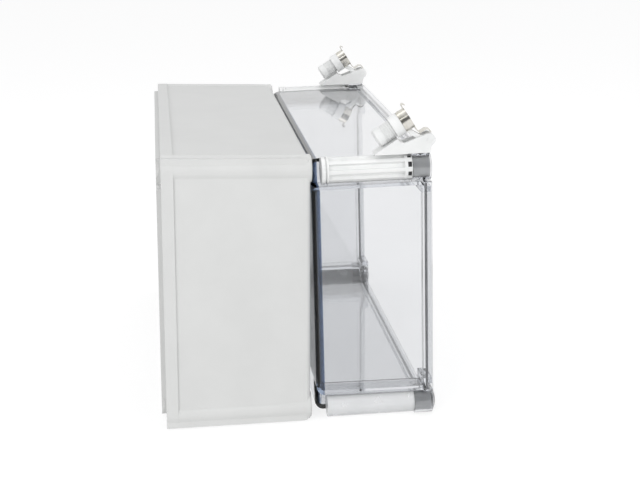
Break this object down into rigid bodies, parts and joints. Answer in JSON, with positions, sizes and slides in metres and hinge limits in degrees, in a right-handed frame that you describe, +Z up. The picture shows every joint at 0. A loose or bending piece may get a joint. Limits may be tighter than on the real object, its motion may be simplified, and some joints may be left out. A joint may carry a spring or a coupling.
{
  "type": "hinged enclosure",
  "caption": "Light grey enclosure base and a loose clear cover with corner spindles and two fold-out hinge plugs with spring clips.",
  "frame": {"origin": "centre of the four wall fixing holes, in the plane of the feet on the base's back", "axes": "+X from the base's mouth to its back, +Y along the enclosure's length, +Z up as it stands on its long side"},
  "size_m": [0.2007, 0.36, 0.2333],
  "materials": {
    "grey_polycarbonate": "fine satin, light grey",
    "clear_polycarbonate": "clear, polished, cool edges",
    "gasket_foam": "grey elastomer seal",
    "white_polyamide": "satin white",
    "milky_polyamide": "milky white, half clear",
    "black_rubber": "black rubber",
    "spring_steel": "bright bent strip"
  },
  "bodies": {
    "base": {"base_shell": "grey_polycarbonate"},
    "cover": {"cover_shell": "clear_polycarbonate", "cover_gasket": "gasket_foam", "near_hinge_bracket": "white_polyamide", "near_hinge_pin": "white_polyamide", "far_hinge_bracket": "white_polyamide", "far_hinge_pin": "white_polyamide"},
    "near_spindle_body": {"near_top_spindle": "white_polyamide", "near_spindle_ring": "black_rubber"},
    "near_lock_body": {"near_bottom_lock": "milky_polyamide", "near_lock_nose": "clear_polycarbonate"},
    "near_arm_body": {"near_hinge_arm": "white_polyamide", "near_hinge_plug": "white_polyamide", "near_hinge_clip": "spring_steel"},
    "far_spindle_body": {"far_top_spindle": "white_polyamide", "far_spindle_ring": "black_rubber"},
    "far_lock_body": {"far_bottom_lock": "milky_polyamide", "far_lock_nose": "clear_polycarbonate"},
    "far_arm_body": {"far_hinge_arm": "white_polyamide", "far_hinge_plug": "white_polyamide", "far_hinge_clip": "spring_steel"}
  },
  "joints": [
    {"name": "cover_away", "type": "slide", "parent": "base", "child": "cover", "axis": [0.9999, 0, 0.0166], "range_m": [0, 0.15]},
    {"name": "near_hinge_fold", "type": "hinge", "parent": "cover", "child": "near_arm_body", "pos_m": [0.08289, -0.1677, 0.10832], "axis": [0, 1, 0], "range_deg": [0, 211.5]},
    {"name": "near_spindle_turn", "type": "hinge", "parent": "cover", "child": "near_spindle_body", "pos_m": [0.04447, -0.1677, 0.08724], "axis": [0.9996, 0, 0.0279], "range_deg": [0, 90]},
    {"name": "near_lock_turn", "type": "hinge", "parent": "cover", "child": "near_lock_body", "pos_m": [0.04936, -0.1677, -0.08809], "axis": [0.9996, 0, 0.0279], "range_deg": [0, 90]},
    {"name": "far_hinge_fold", "type": "hinge", "parent": "cover", "child": "far_arm_body", "pos_m": [0.08289, 0.1677, 0.10832], "axis": [0, 1, 0], "range_deg": [0, 211.5]},
    {"name": "far_spindle_turn", "type": "hinge", "parent": "cover", "child": "far_spindle_body", "pos_m": [0.04447, 0.1677, 0.08724], "axis": [0.9996, 0, 0.0279], "range_deg": [0, 90]},
    {"name": "far_lock_turn", "type": "hinge", "parent": "cover", "child": "far_lock_body", "pos_m": [0.04936, 0.1677, -0.08809], "axis": [0.9996, 0, 0.0279], "range_deg": [0, 90]}
  ]
}
